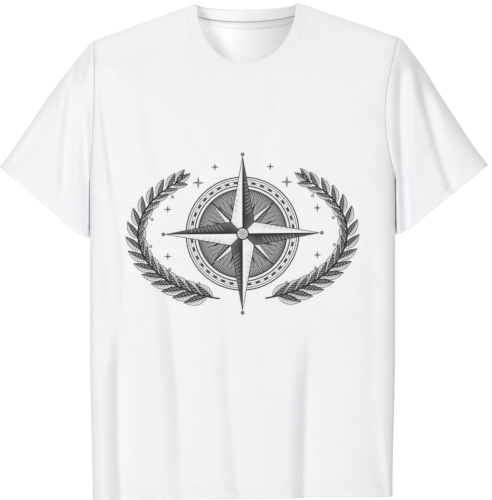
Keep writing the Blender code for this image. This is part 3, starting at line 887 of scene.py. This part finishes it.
def draw_branch(drawing, hand):
    """One branch of the wreath, from the foot of the rose up around its side."""
    def stem(turn):
        return joined(hand * WREATH_HALF_WIDTH * np.sin(turn), -WREATH_HALF_HEIGHT * np.cos(turn))
    start, end = 0.22, 2.46
    fine = np.linspace(start, end, 400)
    line = stem(fine)
    drawing.stroke(line[::4], 0.0026, INK, 3, (0.8, 0.3))
    along = edge_distance(line)
    pairs = 15
    for k in range(pairs):
        share = (k + 0.6) / pairs
        for way, shift in ((1, 0.0), (-1, 0.45)):
            place = along[-1] * min(share + shift / pairs, 0.99)
            turn = np.interp(place, along, fine)
            base = stem(turn)
            ahead = stem(turn + 0.01) - base
            heading = math.atan2(ahead[0], ahead[1])
            outward = way * hand
            length = mix(0.0360, 0.0245, share) * (0.90 if way > 0 else 1.0)
            draw_leaf(drawing, base, heading - outward * 0.66, length, outward * 0.34, 4)
        if k % 3 == 1:
            berry = base - np.array((ahead[1], -ahead[0])) / np.linalg.norm(ahead) * hand * 0.0150
            drawing.stroke(segment(base, berry), HAIR, INK, 3)
            drawing.fill(arc(0.0003) + berry + (-0.0006, 0.0006), arc(0.0021) + berry, 0.85, 0.10, 8)
            drawing.loop(0.0021, HAIR, INK, 9, berry)
    tip = line[-1]
    ahead = line[-1] - line[-2]
    draw_leaf(drawing, tip, math.atan2(ahead[0], ahead[1]), 0.0240, hand * 0.2, 4)


def make_print():
    """The whole design, as one mesh that lies on the front."""
    drawing = Drawing()
    draw_ring(drawing)
    draw_rose(drawing)
    for hand in (1, -1):
        draw_branch(drawing, hand)
        for x, z, reach in STARS:
            draw_star(drawing, np.array((hand * x, z)), reach)
    return drawing.laid("chest_print")


# Materials

class Graph:
    """Adds shader nodes to a material in short calls."""

    def __init__(self, name):
        self.material = bpy.data.materials.new(name)
        self.material.use_nodes = True
        self.nodes = self.material.node_tree.nodes
        self.shader = self.nodes["Principled BSDF"]

    def put(self, socket, value):
        if isinstance(value, bpy.types.NodeSocket):
            self.material.node_tree.links.new(value, socket)
        else:
            socket.default_value = value

    def math(self, kind, a, b=0.0):
        node = self.nodes.new("ShaderNodeMath")
        node.operation = kind
        self.put(node.inputs[0], a)
        self.put(node.inputs[1], b)
        return node.outputs[0]

    def plus(self, total, value, factor):
        """total + value * factor"""
        return self.math("ADD", total, self.math("MULTIPLY", value, factor))

    def weave(self):
        """The two lengths that give each point's place in the flat cloth."""
        node = self.nodes.new("ShaderNodeSeparateXYZ")
        self.put(node.inputs[0], self.read("weave", "Vector"))
        return node.outputs[0], node.outputs[1]

    def read(self, name, output):
        node = self.nodes.new("ShaderNodeAttribute")
        node.attribute_name = name
        return node.outputs[output]

    def noise(self, place, scale, detail=2.0):
        node = self.nodes.new("ShaderNodeTexNoise")
        self.put(node.inputs["Vector"], place)
        self.put(node.inputs["Scale"], scale)
        self.put(node.inputs["Detail"], detail)
        return node.outputs["Fac"]

    def stretched(self, place, by):
        node = self.nodes.new("ShaderNodeVectorMath")
        node.operation = "MULTIPLY"
        self.put(node.inputs[0], place)
        self.put(node.inputs[1], by)
        return node.outputs[0]

    def blend(self, share, a, b):
        node = self.nodes.new("ShaderNodeMix")
        node.data_type = "RGBA"
        self.put(node.inputs[0], share)
        self.put(node.inputs[6], a)
        self.put(node.inputs[7], b)
        return node.outputs[2]

    def bump(self, height, distance):
        node = self.nodes.new("ShaderNodeBump")
        self.put(node.inputs["Height"], height)
        self.put(node.inputs["Distance"], distance)
        self.put(node.inputs["Strength"], 1.0)
        self.put(self.shader.inputs["Normal"], node.outputs["Normal"])

    def finish(self, **inputs):
        for name, value in inputs.items():
            self.put(self.shader.inputs[name.replace("_", " ")], value)
        return self.material


def shade(colour, factor=1.0):
    """A colour made darker or paler by a factor, as a socket takes it."""
    return (*(min(c * factor, 1.0) for c in colour), 1.0)


def knit_height(graph, wale, course):
    """Rows of small V-shaped stitches, from each point's place in the flat cloth."""
    x, y = graph.weave()
    column = graph.math("FRACT", graph.math("MULTIPLY", x, 1 / wale))
    off = graph.math("ABSOLUTE", graph.math("SUBTRACT", column, 0.5))
    row = graph.plus(off, y, 1 / course)
    stitch = graph.math("SINE", graph.math("MULTIPLY", row, 2 * math.pi))
    ridge = graph.math("SUBTRACT", 0.25, graph.math("MULTIPLY", off, off))
    return graph.plus(graph.math("MULTIPLY", stitch, 0.22), ridge, 2.4)


def cotton(name, colour, knit, depth):
    """Knitted cotton: stitches, streaks along the rows and a soft, faintly fuzzy surface."""
    graph = Graph(name)
    place = graph.read("weave", "Vector")
    streaks = graph.noise(graph.stretched(place, (70.0, 420.0, 1.0)), 1.0, 3.0)
    clouds = graph.noise(place, 24.0, 3.0)
    share = graph.plus(graph.math("MULTIPLY", streaks, 0.7), clouds, 0.3)
    tint = graph.blend(share, shade(colour, 0.950), shade(colour, 1.012))
    fibres = graph.noise(graph.stretched(place, (1900.0, 2600.0, 1.0)), 1.0)
    graph.bump(graph.plus(knit_height(graph, *knit), fibres, 0.35), depth)
    return graph.finish(Base_Color=tint, Roughness=0.93, Specular_IOR_Level=0.22, Sheen_Weight=0.12,
                        Sheen_Roughness=0.45)


def printed_cotton(name, ink, cloth):
    """Ink soaked into the knit: the tone attribute says how much of the cloth shows."""
    graph = Graph(name)
    place = graph.read("weave", "Vector")
    tone = graph.read("tone", "Fac")
    grain = graph.noise(graph.stretched(place, (1500.0, 1500.0, 1.0)), 1.0)
    patchy = graph.math("MULTIPLY", graph.math("SUBTRACT", grain, 0.5), 0.16)
    share = graph.math("MINIMUM", graph.math("MAXIMUM", graph.math("ADD", tone, patchy), 0.0), 1.0)
    tint = graph.blend(share, shade(ink), shade(cloth))
    graph.bump(graph.plus(knit_height(graph, *JERSEY_KNIT), grain, 0.4), 0.00008)
    return graph.finish(Base_Color=tint, Roughness=0.90, Specular_IOR_Level=0.12)


def spun_thread(name, colour):
    """White sewing thread."""
    graph = Graph(name)
    place = graph.nodes.new("ShaderNodeTexCoord").outputs["Object"]
    fibres = graph.noise(place, 2600.0)
    tint = graph.blend(fibres, shade(colour, 0.93), shade(colour))
    graph.bump(fibres, 0.00006)
    return graph.finish(Base_Color=tint, Roughness=0.7, Specular_IOR_Level=0.35, Sheen_Weight=0.1)


def twill(name, colour):
    """The neck tape's woven cotton, with slanting ribs that turn at its middle."""
    graph = Graph(name)
    x, y = graph.weave()
    off = graph.math("ABSOLUTE", graph.math("SUBTRACT", y, TAPE_WIDTH / 2))
    slanted = graph.math("ADD", x, off)
    ribs = graph.math("SINE", graph.math("MULTIPLY", slanted, 2 * math.pi / TWILL_PITCH))
    fibres = graph.noise(graph.read("weave", "Vector"), 2200.0)
    tint = graph.blend(fibres, shade(colour, 0.95), shade(colour))
    graph.bump(graph.plus(fibres, ribs, 0.5), 0.00009)
    return graph.finish(Base_Color=tint, Roughness=0.9, Specular_IOR_Level=0.25, Sheen_Weight=0.1)


# The room, the lamps and the camera

def build_room():
    """A white room: the camera sees pure white behind the shirt."""
    world = bpy.data.worlds.new("white_room")
    bpy.context.scene.world = world
    world.use_nodes = True
    nodes, links = world.node_tree.nodes, world.node_tree.links
    light, seen = nodes["Background"], nodes.new("ShaderNodeBackground")
    for node, colour, strength in ((light, AMBIENT_COLOUR, AMBIENT), (seen, SEEN_COLOUR, SEEN)):
        node.inputs["Color"].default_value = colour
        node.inputs["Strength"].default_value = strength
    path = nodes.new("ShaderNodeLightPath")
    choose = nodes.new("ShaderNodeMixShader")
    links.new(path.outputs["Is Camera Ray"], choose.inputs["Fac"])
    links.new(light.outputs["Background"], choose.inputs[1])
    links.new(seen.outputs["Background"], choose.inputs[2])
    links.new(choose.outputs["Shader"], nodes["World Output"].inputs["Surface"])


def build_floor():
    ends = ((-1, -1), (1, -1), (1, 1), (-1, 1))
    square = np.array([(x * FLOOR_REACH, y * FLOOR_REACH, FLOOR_Z) for x, y in ends])
    floor = mesh_object("floor", square, np.array([(0, 1, 2, 3)]))
    graph = Graph("pale_floor")
    place = graph.nodes.new("ShaderNodeTexCoord").outputs["Object"]
    tint = graph.blend(graph.noise(place, 3.0), (0.86, 0.86, 0.86, 1.0), (0.90, 0.90, 0.90, 1.0))
    floor.data.materials.append(graph.finish(Base_Color=tint, Roughness=0.85))


def add_lamp(name, place, target, size, power, spread=180):
    data = bpy.data.lights.new(name, "AREA")
    data.spread = math.radians(spread)
    data.shape = "DISK"
    data.size = size
    data.energy = power
    made = bpy.data.objects.new(name, data)
    bpy.context.scene.collection.objects.link(made)
    made.location = place
    made.rotation_euler = (Vector(target) - Vector(place)).to_track_quat("-Z", "Y").to_euler()
    made.visible_camera = False


def around(turn, rise, distance):
    """A place around the shirt's middle: turn to the image's left, rise above the horizon."""
    turn, rise = math.radians(turn), math.radians(rise)
    flat = distance * math.cos(rise)
    return (-flat * math.sin(turn), -flat * math.cos(turn), VIEW_CENTRE[1] + distance * math.sin(rise))


def build_lamps():
    middle = (0.0, 0.0, VIEW_CENTRE[1])
    for name, (turn, rise, distance, size, power) in LAMPS.items():
        add_lamp(name, around(turn, rise, distance), middle, size, power)
    add_lamp("neck_glow", **NECK_LAMP)


def build_camera():
    data = bpy.data.cameras.new("camera")
    data.sensor_fit = "VERTICAL"
    data.sensor_height = SENSOR_HEIGHT
    data.lens = data.sensor_height * VIEW_DISTANCE / VIEW_HEIGHT
    data.clip_end = FAR_END
    made = bpy.data.objects.new("camera", data)
    bpy.context.scene.collection.objects.link(made)
    made.location = (VIEW_CENTRE[0], -VIEW_DISTANCE, VIEW_CENTRE[1])
    made.rotation_euler = (math.pi / 2, 0.0, 0.0)
    bpy.context.scene.camera = made


# Putting it together

def dress(piece, material, slot, *nodes):
    """Gives a piece its material and its body, and hides the CAD nodes that it stands for. The slot is not
    used.
    """
    piece.data.materials.append(material)
    if nodes:
        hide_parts(*nodes)
    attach(piece, "root")
    return piece


def build_shirt():
    jersey = cotton("white_jersey", WHITE, JERSEY_KNIT, 0.00010)
    rib = cotton("white_rib", (0.855, 0.856, 0.870), RIB_KNIT, 0.00007)
    thread = spun_thread("white_thread", (0.84, 0.84, 0.85))
    tape = twill("white_tape", (0.83, 0.83, 0.845))
    ink = printed_cotton("black_ink", (0.004, 0.004, 0.005), WHITE)

    stitches = {piece.name: dress(piece, thread, "thread") for piece in make_stitches()}
    for piece in make_seams():
        _, kind, name = piece.name.split("_")
        node = kind + "_seam_" + name
        dress(piece, thread, "thread", node)
    design = dress(make_print(), ink, "ink")

    front = dress(make_panel("front_cloth", FRONT), jersey, "jersey", "front_panel", "front_hem")
    back = dress(make_panel("back_cloth", BACK), jersey, "jersey", "back_panel", "back_hem")
    for name, hand in HANDS.items():
        cloth = make_sleeve("sleeve_cloth_" + name, hand)
        sleeve = dress(cloth, jersey, "jersey", "sleeve_" + name, "cuff_" + name)
    band = dress(make_band(), rib, "rib", "neck_band")
    strip = dress(make_tape(), tape, "tape", "neck_tape")


def corners(bounds):
    return [[float(value) for value in corner] for corner in bounds]


bpy.context.scene.view_settings.view_transform = "Standard"
build_camera()
build_room()
build_floor()
build_lamps()
build_shirt()
